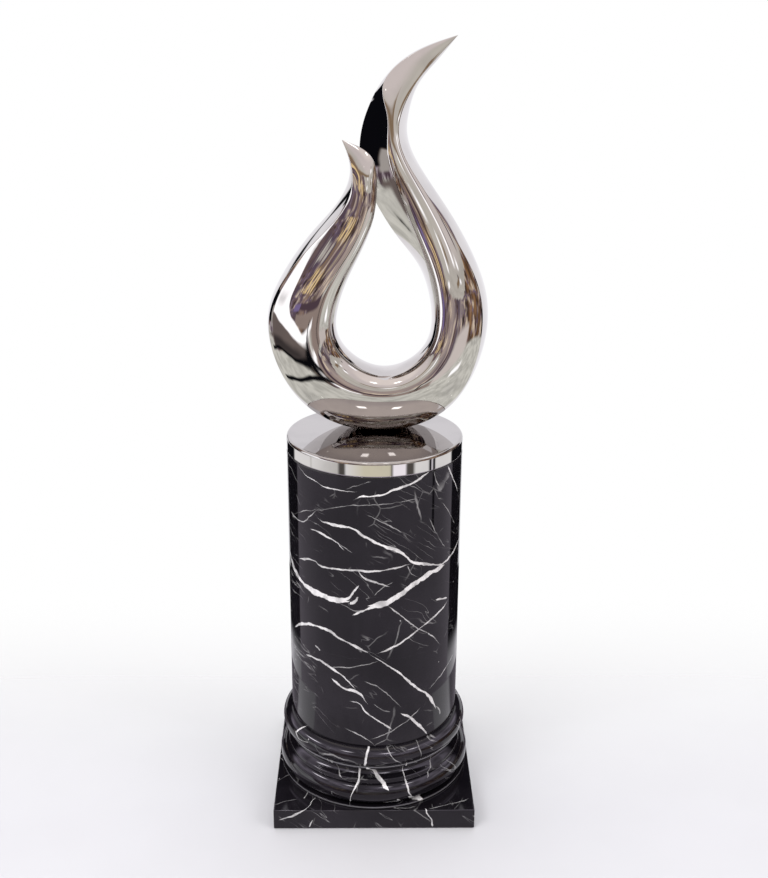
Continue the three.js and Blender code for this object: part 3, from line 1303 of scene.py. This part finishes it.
@dataclass(frozen=True)
class LightTent:
    """A narrow light tent round the column, seen only in the polish of the surfaces close to it.

    Lengths are in metres, and turns in degrees from the front. The upper part of its wall shows in the
    disc's edge, the rest of it in the shaft, and the skirt round its foot in the base.
    """

    name: str = "light_tent"
    radius: float = 0.22
    foot: float = 0.24
    foot_band: float = 0.002
    top: float = 0.786
    skirt: float = 0.64
    ground: Pair = (0.19, 1.0)
    ground_level: float = 0.0005
    near: float = 0.115
    far: float = 0.75
    far_levels: Pair = (0.25, 0.40)
    plain: Colour = (0.56, 0.51, 0.585)
    shade: Colour = (0.50, 0.455, 0.525)
    black: Colour = (0.006, 0.006, 0.008)
    back: Colour = (0.20, 0.18, 0.21)
    back_turns: Pair = (108.0, 116.0)
    weave: Place = (14.0, 14.0, 2.0)
    weave_range: Pair = (0.35, 0.65)
    gap_turns: Pair = (47.8, 50.2)
    gap_soft: float = 0.5
    gap_levels: Pair = (0.60, 0.64)
    low_edge: Colour = (0.85, 0.83, 0.88)
    edge_turns: Pair = (74.5, 76.5)
    edge_levels: Pair = (0.28, 0.35)
    disc_level: float = 0.756
    disc_soft: float = 0.0004
    disc_dip: float = 0.0176 / 98.6**2
    pale: Colour = (1.22, 1.22, 1.22)
    bright: Colour = (1.5, 1.45, 1.55)
    cream: Colour = (1.02, 0.97, 0.76)
    dull: Colour = (0.87, 0.86, 0.83)
    dark: Colour = (0.13, 0.12, 0.11)
    mark_turn: float = 120.0
    glow: Colour = (1.9, 1.7, 2.1)
    glow_scale: float = 7.0
    glow_range: Pair = (0.35, 0.65)
    glow_inside: Pair = (0.215, 0.25)
    glow_outside: Pair = (0.36, 0.60)
    glow_turns: Pair = (92.0, 104.0)
    spark: Colour = (26.0, 24.5, 27.0)
    sparks: tuple[Pair, ...] = ((-64, -50), (-26, -20), (8, 14), (30, 36))
    spark_soft: float = 5.0
    spark_ring: Pair = (0.262, 0.275)
    spark_ring_soft: float = 0.012

    def build(self) -> None:
        """Set up the tent."""
        bm = bmesh.new()
        spin_round(bm, ((self.skirt, self.foot), (self.radius, self.foot), (self.radius, self.top)))
        spin_round(bm, [(reach, self.ground_level) for reach in self.ground])
        tent = make_object(bm, self.name, self._material())
        tent.visible_camera = False
        tent.visible_diffuse = False
        tent.visible_shadow = False

    def _material(self) -> bpy.types.Material:
        """The tent's glow, which lets through every ray that comes from farther off.

        Returns:
            The finished material.
        """
        material, kit = new_material(self.name)
        material.cycles.emission_sampling = "NONE"
        place = kit.node("TexCoord", output="Object")
        x, y, z = kit.split(place)
        turn = kit.turn(x, y) * math.degrees(1)
        wall = self._wall(kit, place, turn, z)
        low = kit.band(z, self.foot - self.foot_band, self.foot + self.foot_band, self.foot_band / 2)
        colour = kit.mix(low, wall, self._skirt(kit, place, turn))
        sockets = {
            "Base Color": (0.0, 0.0, 0.0, 1.0),
            "Roughness": 1.0,
            "Specular IOR Level": 0.0,
            "Emission Color": colour,
            "Emission Strength": 1.0,
        }
        glow = kit.node("BsdfPrincipled", sockets=sockets)
        reach = kit.rise(z, *self.far_levels, self.far, self.near)
        close = kit.maths("LESS_THAN", kit.node("LightPath", output="Ray Length"), reach)
        close = close * kit.maths("LESS_THAN", z + turn * turn * self.disc_dip, self.top)
        shown = kit.node("MixShader", sockets={0: close, 1: kit.node("BsdfTransparent"), 2: glow})
        kit.node("OutputMaterial", sockets={"Surface": shown})
        return material

    def _wall(self, kit: NodeKit, place: Value, turn: Value, height: Value) -> Value:
        """The wall's colour: plain, dark beside the column, and marked where the disc mirrors it.

        Args:
            kit: The material's nodes.
            place: The point on the tent.
            turn: Degrees from the front.
            height: Metres over the floor.

        Returns:
            The colour.
        """
        weave = kit.noise(kit.vector("MULTIPLY", place, self.weave), 1.0, detail=3.0)
        plain = kit.mix(kit.rise(weave, *self.weave_range), self.plain, self.shade)
        gap = kit.band(turn, *self.gap_turns, self.gap_soft) * kit.rise(height, *self.gap_levels)
        plain = kit.mix(gap, plain, self.black)
        side = abs(turn)
        edge = kit.mix(kit.rise(height, *self.edge_levels), self.low_edge, self.black)
        colour = kit.mix(kit.rise(side, *self.edge_turns), plain, edge)
        colour = kit.mix(kit.rise(side, *self.back_turns), colour, self.back)
        raised = height + turn * turn * self.disc_dip
        disc = kit.rise(raised, self.disc_level - self.disc_soft, self.disc_level + self.disc_soft)
        return kit.mix(disc, colour, self._disc_marks(kit, turn))

    def _disc_marks(self, kit: NodeKit, turn: Value) -> Value:
        """The upright marks that the disc's edge mirrors.

        Args:
            kit: The material's nodes.
            turn: Degrees from the front.

        Returns:
            The colour.
        """
        marks = (
            (-82, self.black),
            (-79, self.pale),
            (-56, self.pale),
            (-54.5, self.dull),
            (-53, self.pale),
            (-29, self.dull),
            (-27, self.dark),
            (-23.5, self.dark),
            (-21.5, self.pale),
            (-8, self.cream),
            (11, self.cream),
            (12.5, self.dark),
            (14, self.bright),
            (22.5, self.bright),
            (24.5, self.dark),
            (29, self.dark),
            (31.5, self.pale),
            (43, self.pale),
            (44.5, self.black),
            (46, self.black),
            (47, self.bright),
            (48.2, self.black),
            (49.8, self.black),
            (51, self.pale),
            (71.5, self.pale),
            (74, self.black),
        )
        reach = self.mark_turn
        stops = [((place + reach) / (2 * reach), colour) for place, colour in marks]
        return kit.node("ValToRGB", {"stops": stops}, {"Fac": (turn + reach) / (2 * reach)})

    def _skirt(self, kit: NodeKit, place: Value, turn: Value) -> Value:
        """The skirt's colour: a broad soft ring of light with a few brighter places, dark behind the column.

        Args:
            kit: The material's nodes.
            place: The point on the tent.
            turn: Degrees from the front.

        Returns:
            The colour.
        """
        flat = kit.vector("MULTIPLY", place, (1.0, 1.0, 0.0))
        reach = kit.length(flat)
        ring = kit.rise(reach, *self.glow_inside) * kit.rise(reach, *self.glow_outside, 1.0, 0.0)
        cloudy = kit.rise(kit.noise(flat, self.glow_scale), *self.glow_range)
        colour = kit.mix(ring, self.shade, kit.mix(cloudy, self.shade, self.glow))
        for left, right in self.sparks:
            spot = kit.band(turn, left, right, self.spark_soft)
            spot = spot * kit.band(reach, *self.spark_ring, self.spark_ring_soft)
            colour = kit.mix(spot, colour, self.spark)
        return kit.mix(kit.rise(abs(turn), *self.glow_turns), colour, self.black)


# The shreds of a torn patch: their fineness round and up, and the noise between which they show.
SHRED_SCALE = (0.30, 0.06)
SHRED_RANGE = (0.45, 0.55)


@dataclass(frozen=True)
class Patch:
    """A patch of colour in the room, in degrees round from the front and up from the horizon.

    course is its middle line from left to right, and half is how far it reaches above and below that line.
    A torn patch is broken up into shreds.
    """

    course: tuple[Pair, ...]
    half: float
    colour: Colour
    soft: float = 1.2
    torn: bool = False

    def paint(self, kit: NodeKit, turn: Value, height: Value, under: Value) -> Value:
        """Lay the patch over the colours that are already there.

        Args:
            kit: The world's nodes.
            turn: Degrees round.
            height: Degrees up.
            under: The colour under the patch.

        Returns:
            The colour with the patch.
        """
        levels = {level for _, level in self.course}
        level = height - (kit.curve(turn, self.course) if len(levels) > 1 else levels.pop())
        across = kit.band(turn, self.course[0][0], self.course[-1][0], self.soft)
        share = across * kit.band(level, -self.half, self.half, self.soft)
        if self.torn:
            place = kit.plane(turn * SHRED_SCALE[0], height * SHRED_SCALE[1])
            share = share * kit.rise(kit.noise(place, 1.0, detail=4.0), *SHRED_RANGE)
        return kit.mix(share, under, self.colour)


@dataclass(frozen=True)
class Sheet:
    """A sheet of colour in the room between a lower and an upper course, in degrees round and up."""

    lower: tuple[Pair, ...]
    upper: tuple[Pair, ...]
    colour: Colour
    soft: float = 1.0

    def paint(self, kit: NodeKit, turn: Value, height: Value, under: Value) -> Value:
        """Lay the sheet over the colours that are already there.

        Args:
            kit: The world's nodes.
            turn: Degrees round.
            height: Degrees up.
            under: The colour under the sheet.

        Returns:
            The colour with the sheet.
        """
        over = kit.rise(height - kit.curve(turn, self.lower), -self.soft, self.soft)
        below = kit.rise(height - kit.curve(turn, self.upper), -self.soft, self.soft, 1.0, 0.0)
        across = kit.band(turn, self.upper[0][0], self.upper[-1][0], self.soft)
        return kit.mix(over * below * across, under, self.colour)


WHITE_LIGHT = (1.64, 1.65, 1.70)
DIM_LIGHT = (1.02, 1.01, 1.04)
LAMP = (4.0, 4.0, 4.0)
GOLD = (1.05, 0.80, 0.42)
BLACK_GAP = (0.004, 0.004, 0.006)
PALE_BACK = (0.98, 0.97, 1.01)
SKIRTING = (0.19, 0.155, 0.145)
DARK_SKIRTING = (0.06, 0.05, 0.05)
TONGUE = (0.48, 0.45, 0.43)
DULL_BACK = (1.02, 1.01, 1.06)
SILL = (0.38, 0.30, 0.27)
MAUVE = (0.52, 0.45, 0.50)
BROWN_TRIM = (0.30, 0.21, 0.135)
PURPLE = (0.25, 0.19, 0.40)
DARK_PURPLE = (0.10, 0.065, 0.085)
PALE_SILL = (0.82, 0.75, 0.72)

LIGHT_FOOT = (
    (-107, -1), (-100, -2), (-92, -4.5), (-84, -8), (-76, -11), (-68, -14.5), (-60, -18), (-52, -20.5),
    (-40, -22), (-28, -21.5), (-18, -18.8),
)
LIGHT_TOP = (
    (-107, 31), (-87, 31), (-80, 27), (-77, 21), (-74, 14), (-70, 7), (-66, 1), (-61, -4), (-55, -7.5),
    (-48, -11.5), (-40, -16), (-30, -19), (-18, -18.8),
)
SKIRTING_FOOT = (
    (-115, -24.5), (-90, -25.5), (-80, -27.2), (-70, -29), (-60, -30), (-50, -29.4), (-40, -27),
    (-30, -23.8), (-22, -20.3), (-14, -14),
)
SKIRTING_MIDDLE = ((-103, -18), (-90, -19), (-70, -23), (-50, -25), (-30, -22.5), (-14, -14))
FLOOR_LINE = (
    (-118, -37), (-100, -40), (-80, -41), (-60, -38),
    (-50, -35), (-40, -31), (-30, -26), (-24, -22.5),
)
WALL_TOP = (
    (-180, 30), (-110, 34), (-78, 34), (-64, 31), (-55, 29), (-46, 29), (-36, 32), (-27, 28), (-15, 14),
    (10, 12), (40, 11), (52, 17), (60, 24), (100, 36), (135, 38),
)
WALL_FOOT = (
    (-150, -12), (-110, -13), (-98, -27), (-22, -25), (-8, -10),
    (10, -8), (42, -10), (54, -16), (110, -18),
)
ROOM_PATCHES = (
    Patch(((-58, 22), (-50, 25), (-38, 30), (-21, 33), (12, 34.5)), 1.4, BROWN_TRIM),
    Patch(((24, 21), (40, 27)), 2.5, BROWN_TRIM, torn=True),
    Sheet(SKIRTING_FOOT, LIGHT_FOOT, SKIRTING),
    Sheet(SKIRTING_FOOT, SKIRTING_MIDDLE, DARK_SKIRTING, 2.5),
    Patch(((-50, -8), (-34, -11), (-16, -13), (4, -15), (28, -17)), 4.5, SILL),
    Patch(((-47, 1.5), (-30, -2.5), (-12, -7), (4, -10)), 2.6, DARK_PURPLE),
    Patch(((-58, 2.2), (-46, 0.8)), 2.6, PURPLE),
    Patch(((-58, 21), (-46, 18), (-32, 13)), 7.0, GOLD, torn=True),
    Patch(((26, -13.5), (64, -13.5)), 5.0, PALE_SILL, 2.0),
    Sheet(LIGHT_FOOT, LIGHT_TOP, WHITE_LIGHT),
    Patch(((-101, 10), (-83, 10)), 3.5, DIM_LIGHT, 5.0),
    Patch(((-44, -18.5), (-34, -19.4), (-19, -17.6), (-6, -15.4)), 1.3, WHITE_LIGHT),
    Patch(SKIRTING_FOOT, 1.0, BLACK_GAP, 0.8),
    Patch(FLOOR_LINE, 1.2, BLACK_GAP, 0.8),
    Patch(((54, -24.5), (68, -24.5)), 1.8, WHITE_LIGHT),
    Patch(((-13, 17.5), (-5, 21)), 2.4, WHITE_LIGHT),
    Patch(((13, -12), (18, -12)), 8.0, BLACK_GAP, 0.7, torn=True),
    Patch(((29, 37), (36, 37)), 2.2, WHITE_LIGHT, 1.6),
    Patch(((44, 35), (50, 35)), 1.8, WHITE_LIGHT, 1.6),
    Patch(((-2, 31), (3, 31)), 1.8, WHITE_LIGHT, 1.6),
    Patch(((40, 25), (46, 25)), 1.8, WHITE_LIGHT, 1.6),
    Patch(((38, 40), (42, 40)), 1.6, DARK_PURPLE, 1.4),
    Patch(((35, 29), (38, 29)), 1.4, DARK_PURPLE, 1.4),
    Patch(((70, 38), (75, 38)), 1.6, DARK_PURPLE, 1.4),
    Patch(((92, 52), (122, 52)), 5.0, WHITE_LIGHT),
    Patch(((-24, 60), (-14, 60)), 2.4, LAMP),
    Patch(((16, 62), (26, 62)), 2.4, LAMP),
    Patch(((-200, 0), (-138, 0)), 95.0, PALE_BACK),
    Patch(((138, 0), (200, 0)), 95.0, PALE_BACK),
    Patch(((-118, -13), (-104, -13)), 3.0, MAUVE),
    Patch(((-117, -14), (-104, -14)), 5.0, DARK_PURPLE, torn=True),
    Patch(((-111.5, -18.2), (-106, -18.2)), 1.2, SKIRTING),
    Patch(((-111.5, -5), (-105.5, -5)), 8.0, TONGUE),
    Patch(((-157, 7), (-146, 4), (-134, 0)), 2.8, BLACK_GAP),
    Patch(((-142.5, 0), (-111, 0)), 9.5, BLACK_GAP),
    Patch(((-136, 8), (-106, 8)), 5.0, BLACK_GAP),
    Patch(((-200, 18), (-168, 18)), 12.0, DULL_BACK, 3.0),
    Patch(((167, 18), (200, 18)), 12.0, DULL_BACK, 3.0),
)


@dataclass(frozen=True)
class MirroredRoom:
    """The room that the steel mirrors, painted by direction: a wall of colours, a ceiling and a floor.

    Spans and heights are in degrees. A grain is how fine a noise is round and up, a scale is how fine it
    is on the ceiling or the floor, and a range is the noise between which an effect grows.
    """

    wall_span: Pair = (-110.0, 130.0)
    wall_bend: float = 0.06
    wall_bend_scale: float = 0.5
    wall_grain: Pair = (0.22, 0.016)
    streak_grain: Pair = (0.11, 0.10)
    streak_cover_scale: float = 0.7
    streak_range: Pair = (0.42, 0.60)
    streak_share: float = 0.85
    sway: float = 3.5
    lift: float = 1.2
    sway_scale: float = 4.0
    fray: float = 10.0
    fray_grain: Pair = (0.25, 0.04)
    line_soft: float = 1.0
    horizon: float = 0.12
    ceiling_tones: tuple[Colour, ...] = ((0.70, 0.67, 0.615), (0.60, 0.575, 0.525))
    ceiling_scale: float = 0.9
    ceiling_range: Pair = (0.35, 0.7)
    middle_tone: Colour = (0.83, 0.755, 0.745)
    middle_heights: Pair = (30.0, 43.0)
    high_tone: Colour = (1.02, 0.93, 0.89)
    high_heights: Pair = (47.0, 60.0)
    lamp_tone: Colour = (2.4, 2.4, 2.3)
    lamp_scale: float = 2.2
    lamp_edge: Pair = (0.035, 0.07)
    floor_tones: tuple[Colour, ...] = ((0.84, 0.84, 0.78), (0.60, 0.60, 0.555))
    floor_scale: float = 3.0
    floor_range: Pair = (0.36, 0.66)
    spot_tone: Colour = (1.5, 1.5, 1.4)
    spot_scale: float = 3.1
    spot_edge: Pair = (0.04, 0.09)

    def colour(self, kit: NodeKit) -> Value:
        """The room's colour by direction.

        Args:
            kit: The world's nodes.

        Returns:
            The colour.
        """
        ray = kit.node("TexCoord", output="Generated")
        x, y, z = kit.split(ray)
        sway, lift, _ = kit.split(kit.noise(ray, self.sway_scale, detail=1.0, output="Color"))
        turn = kit.turn(x, y) * math.degrees(1) + (sway - 0.5) * self.sway
        height = kit.maths("ARCSINE", z) * math.degrees(1) + (lift - 0.5) * self.lift
        reach = abs(z).at_least(self.horizon)
        flat = kit.plane(x / reach, y / reach)
        fray = kit.noise(kit.plane(turn * self.fray_grain[0], height * self.fray_grain[1]), 1.0, detail=3.0)
        top = kit.curve(turn, WALL_TOP) + (fray - 0.5) * self.fray
        over = kit.rise(height - top, -self.line_soft, self.line_soft)
        under = kit.rise(height - kit.curve(turn, WALL_FOOT), -self.line_soft, self.line_soft, 1.0, 0.0)
        colour = kit.mix(over, self._front_wall(kit, turn, height), self._ceiling(kit, flat, height))
        colour = kit.mix(under, colour, self._floor(kit, flat))
        for patch in ROOM_PATCHES:
            colour = patch.paint(kit, turn, height, colour)
        return colour

    def _ceiling(self, kit: NodeKit, flat: Value, height: Value) -> Value:
        """The mauve-grey ceiling with its small lamps.

        Args:
            kit: The world's nodes.
            flat: The point overhead that a ray meets.
            height: Degrees up.

        Returns:
            The colour.
        """
        cloudy = kit.rise(kit.noise(flat, self.ceiling_scale, detail=3.0), *self.ceiling_range)
        colour = kit.mix(cloudy, *self.ceiling_tones)
        colour = kit.mix(kit.rise(height, *self.middle_heights), colour, self.middle_tone)
        colour = kit.mix(kit.rise(height, *self.high_heights), colour, self.high_tone)
        lamps = kit.rise(kit.cells(flat, self.lamp_scale), *self.lamp_edge, 1.0, 0.0)
        return kit.mix(lamps, colour, self.lamp_tone)

    def _floor(self, kit: NodeKit, flat: Value) -> Value:
        """The grey floor with a few pale spots.

        Args:
            kit: The world's nodes.
            flat: The point underfoot that a ray meets.

        Returns:
            The colour.
        """
        cloudy = kit.rise(kit.noise(flat, self.floor_scale, detail=5.0), *self.floor_range)
        spots = kit.rise(kit.cells(flat, self.spot_scale), *self.spot_edge, 1.0, 0.0)
        return kit.mix(spots, kit.mix(cloudy, *self.floor_tones), self.spot_tone)

    def _front_wall(self, kit: NodeKit, turn: Value, height: Value) -> Value:
        """The upright bands of browns, purples and creams round the front, with finer streaks over them.

        Args:
            kit: The world's nodes.
            turn: Degrees from the front.
            height: Degrees above the horizon.

        Returns:
            The colour.
        """
        bands = (
            (-110, (0.20, 0.13, 0.10)),
            (-78, (0.16, 0.11, 0.11)),
            (-66, (0.12, 0.085, 0.13)),
            (-50, (0.15, 0.105, 0.14)),
            (-44, (0.34, 0.24, 0.21)),
            (-35, (0.30, 0.20, 0.14)),
            (-30, (0.09, 0.055, 0.045)),
            (-21, (0.11, 0.075, 0.07)),
            (-14, (0.30, 0.22, 0.19)),
            (-4, (0.58, 0.48, 0.43)),
            (8, (0.42, 0.35, 0.34)),
            (15, (0.26, 0.21, 0.23)),
            (19, (0.10, 0.07, 0.09)),
            (27, (0.16, 0.125, 0.16)),
            (34, (0.42, 0.35, 0.35)),
            (44, (0.30, 0.25, 0.24)),
            (49, (0.12, 0.09, 0.08)),
            (54, (0.06, 0.038, 0.028)),
            (61, (0.18, 0.10, 0.055)),
            (69, (0.44, 0.25, 0.12)),
            (76, (0.10, 0.055, 0.03)),
            (84, (0.38, 0.21, 0.10)),
            (91, (0.08, 0.045, 0.03)),
            (99, (0.26, 0.145, 0.075)),
            (106, (0.11, 0.06, 0.04)),
            (113, (0.012, 0.009, 0.008)),
        )
        left, right = self.wall_span
        stops = [((place - left) / (right - left), colour) for place, colour in bands]
        share = (turn - left) / (right - left)
        place = kit.plane(turn * self.wall_grain[0], height * self.wall_grain[1])
        bend = (kit.noise(place, self.wall_bend_scale) - 0.5) * self.wall_bend
        broad = kit.node("ValToRGB", {"stops": stops}, {"Fac": share + bend})
        streaks = (
            (0.36, (0.02, 0.014, 0.014)),
            (0.45, (0.22, 0.15, 0.13)),
            (0.50, (0.20, 0.15, 0.26)),
            (0.55, (0.62, 0.50, 0.40)),
            (0.64, (1.05, 0.90, 0.72)),
        )
        torn = kit.plane(turn * self.streak_grain[0], height * self.streak_grain[1])
        fine = kit.node("ValToRGB", {"stops": streaks}, {"Fac": kit.noise(torn, 1.0, detail=4.0)})
        cover = kit.noise(torn, self.streak_cover_scale)
        return kit.mix(kit.rise(cover, *self.streak_range, 0.0, self.streak_share), broad, fine)


@dataclass
class Studio:
    """The pale floor, the soft light and the room that the steel mirrors."""

    floor_radius: float = 2.6
    floor_sides: int = 128
    floor_drop: float = 0.0004
    white: float = 1.0
    light_map: int = 256
    bounces: int = 8
    lights: tuple[SoftLight, ...] = (
        SoftLight("key_light", (-1.7, -2.0, 2.7), 1.4, 55.0),
        SoftLight("fill_light", (2.2, -1.4, 2.2), 1.6, 30.0),
        SoftLight("top_light", (0.0, 0.3, 3.4), 2.4, 60.0),
    )
    tent: LightTent = LightTent()
    room: MirroredRoom = MirroredRoom()

    def build(self) -> None:
        """Set up everything around the object."""
        bpy.context.scene.view_settings.view_transform = "Standard"
        bpy.context.scene.cycles.glossy_bounces = self.bounces
        self._floor()
        self._world()
        low, high = cad_box
        for light in self.lights:
            light.build((Vector(low) + Vector(high)) / 2)
        self.tent.build()

    def _floor(self) -> None:
        """Lay the pale floor."""
        bm = bmesh.new()
        bmesh.ops.create_circle(bm, cap_ends=True, segments=self.floor_sides, radius=self.floor_radius)
        bmesh.ops.translate(bm, vec=(0.0, 0.0, -self.floor_drop), verts=bm.verts[:])
        finish = PaleFloor()
        floor = make_object(bm, finish.name, finish.material())
        floor.visible_glossy = False

    def _world(self) -> None:
        """Put the room on the world: white to the eye, and a room to the steel and the light."""
        world = bpy.data.worlds.new("studio_room")
        bpy.context.scene.world = world
        world.use_nodes = True
        world.cycles.sampling_method = "MANUAL"
        world.cycles.sample_map_resolution = self.light_map
        kit = NodeKit(world.node_tree)
        direct = kit.node("LightPath", output="Is Camera Ray")
        plain = kit.node("Background", sockets={"Color": (1.0, 1.0, 1.0, 1.0), "Strength": self.white})
        room = kit.node("Background", sockets={"Color": self.room.colour(kit), "Strength": 1.0})
        shown = kit.node("MixShader", sockets={0: direct, 1: room, 2: plain})
        kit.node("OutputWorld", sockets={"Surface": shown})


@dataclass(frozen=True)
class PhotoCamera:
    """The camera at the photograph's viewing angle, in metres and degrees."""

    place: Place = (-0.01401, -2.23549, 1.57409)
    pitch: float = 19.416
    roll: float = 0.338
    heading: float = 0.844
    lens: float = 47.95
    sensor: float = 36.0
    clip: Pair = (0.05, 50.0)

    def build(self) -> None:
        """Set up the camera and make it the scene's own."""
        pitch, roll, heading = (math.radians(angle) for angle in (self.pitch, self.roll, self.heading))
        forward = math.cos(pitch)
        ahead = Vector((math.sin(heading) * forward, math.cos(heading) * forward, -math.sin(pitch)))
        level = Vector((math.cos(heading), -math.sin(heading), 0.0))
        upright = level.cross(ahead)
        right = level * math.cos(roll) + upright * math.sin(roll)
        up = upright * math.cos(roll) - level * math.sin(roll)
        data = bpy.data.cameras.new("photo_camera")
        data.lens = self.lens
        data.sensor_width = self.sensor
        data.clip_start, data.clip_end = self.clip
        camera = place_object("photo_camera", data)
        turned = Matrix((right, up, -ahead)).transposed().to_4x4()
        camera.matrix_world = Matrix.Translation(self.place) @ turned
        bpy.context.scene.camera = camera


def main() -> None:
    """Build the camera, the studio and the pieces from the floor up."""
    logging.basicConfig(level=logging.INFO, format="%(message)s")
    PhotoCamera().build()
    Studio().build()
    for maker in (PlinthSlab(), BaseMoulding(), ColumnShaft(), CapDisc(), Flame()):
        piece = maker.build()
        log.info("built %s: %d faces", piece.name, len(piece.data.polygons))


if __name__ == "__main__":
    main()
